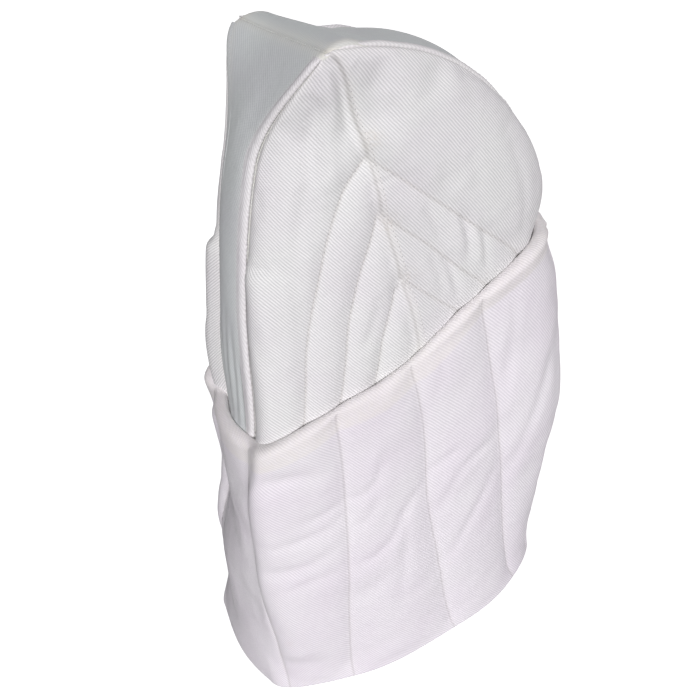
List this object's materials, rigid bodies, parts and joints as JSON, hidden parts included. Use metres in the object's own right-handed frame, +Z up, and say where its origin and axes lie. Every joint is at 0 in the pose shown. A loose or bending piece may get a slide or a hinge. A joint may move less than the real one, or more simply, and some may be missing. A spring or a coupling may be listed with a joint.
{
  "type": "quilted cotton hood",
  "caption": "Tall quilted cotton hood with a squared-off box gusset from brow to nape and a deep padded cuff turned up from the rim, open underneath.",
  "frame": {"origin": "under the middle of the hood, at the height of the rim it stands on", "axes": "+X towards the wearer's left, -Y towards the face, +Z up to the ears of the crown"},
  "size_m": [0.1642, 0.2722, 0.4366],
  "materials": {
    "hood_twill": "matt white cotton twill with fine diagonal wales, quilted",
    "gusset_twill": "matt white cotton twill, unquilted, softly creased",
    "cuff_twill": "matt white cotton twill, quilted in wide vertical channels",
    "facing": "matt white cotton twill, inside face of the cuff",
    "lining": "plain-woven unbleached cotton lining",
    "wadding": "loose cotton wadding",
    "seam_cloth": "turned seam allowance and hem, ivory cotton twill"
  },
  "bodies": {
    "root": {"left_front_panel": "hood_twill", "left_back_panel": "hood_twill", "right_front_panel": "hood_twill", "right_back_panel": "hood_twill", "front_gusset": "gusset_twill", "crown_gusset": "gusset_twill", "left_side_wadding": "wadding", "right_side_wadding": "wadding", "front_gusset_wadding": "wadding", "crown_gusset_wadding": "wadding", "left_side_lining": "lining", "right_side_lining": "lining", "front_gusset_lining": "lining", "crown_gusset_lining": "lining", "left_front_seam_roll": "seam_cloth", "right_front_seam_roll": "seam_cloth", "left_crown_seam_roll": "seam_cloth", "right_crown_seam_roll": "seam_cloth", "cuff_front_cover": "cuff_twill", "cuff_front_wadding": "wadding", "cuff_front_facing": "facing", "cuff_left_cover": "cuff_twill", "cuff_left_wadding": "wadding", "cuff_left_facing": "facing", "cuff_back_cover": "cuff_twill", "cuff_back_wadding": "wadding", "cuff_back_facing": "facing", "cuff_right_cover": "cuff_twill", "cuff_right_wadding": "wadding", "cuff_right_facing": "facing", "rim_hem": "seam_cloth"}
  },
  "joints": []
}
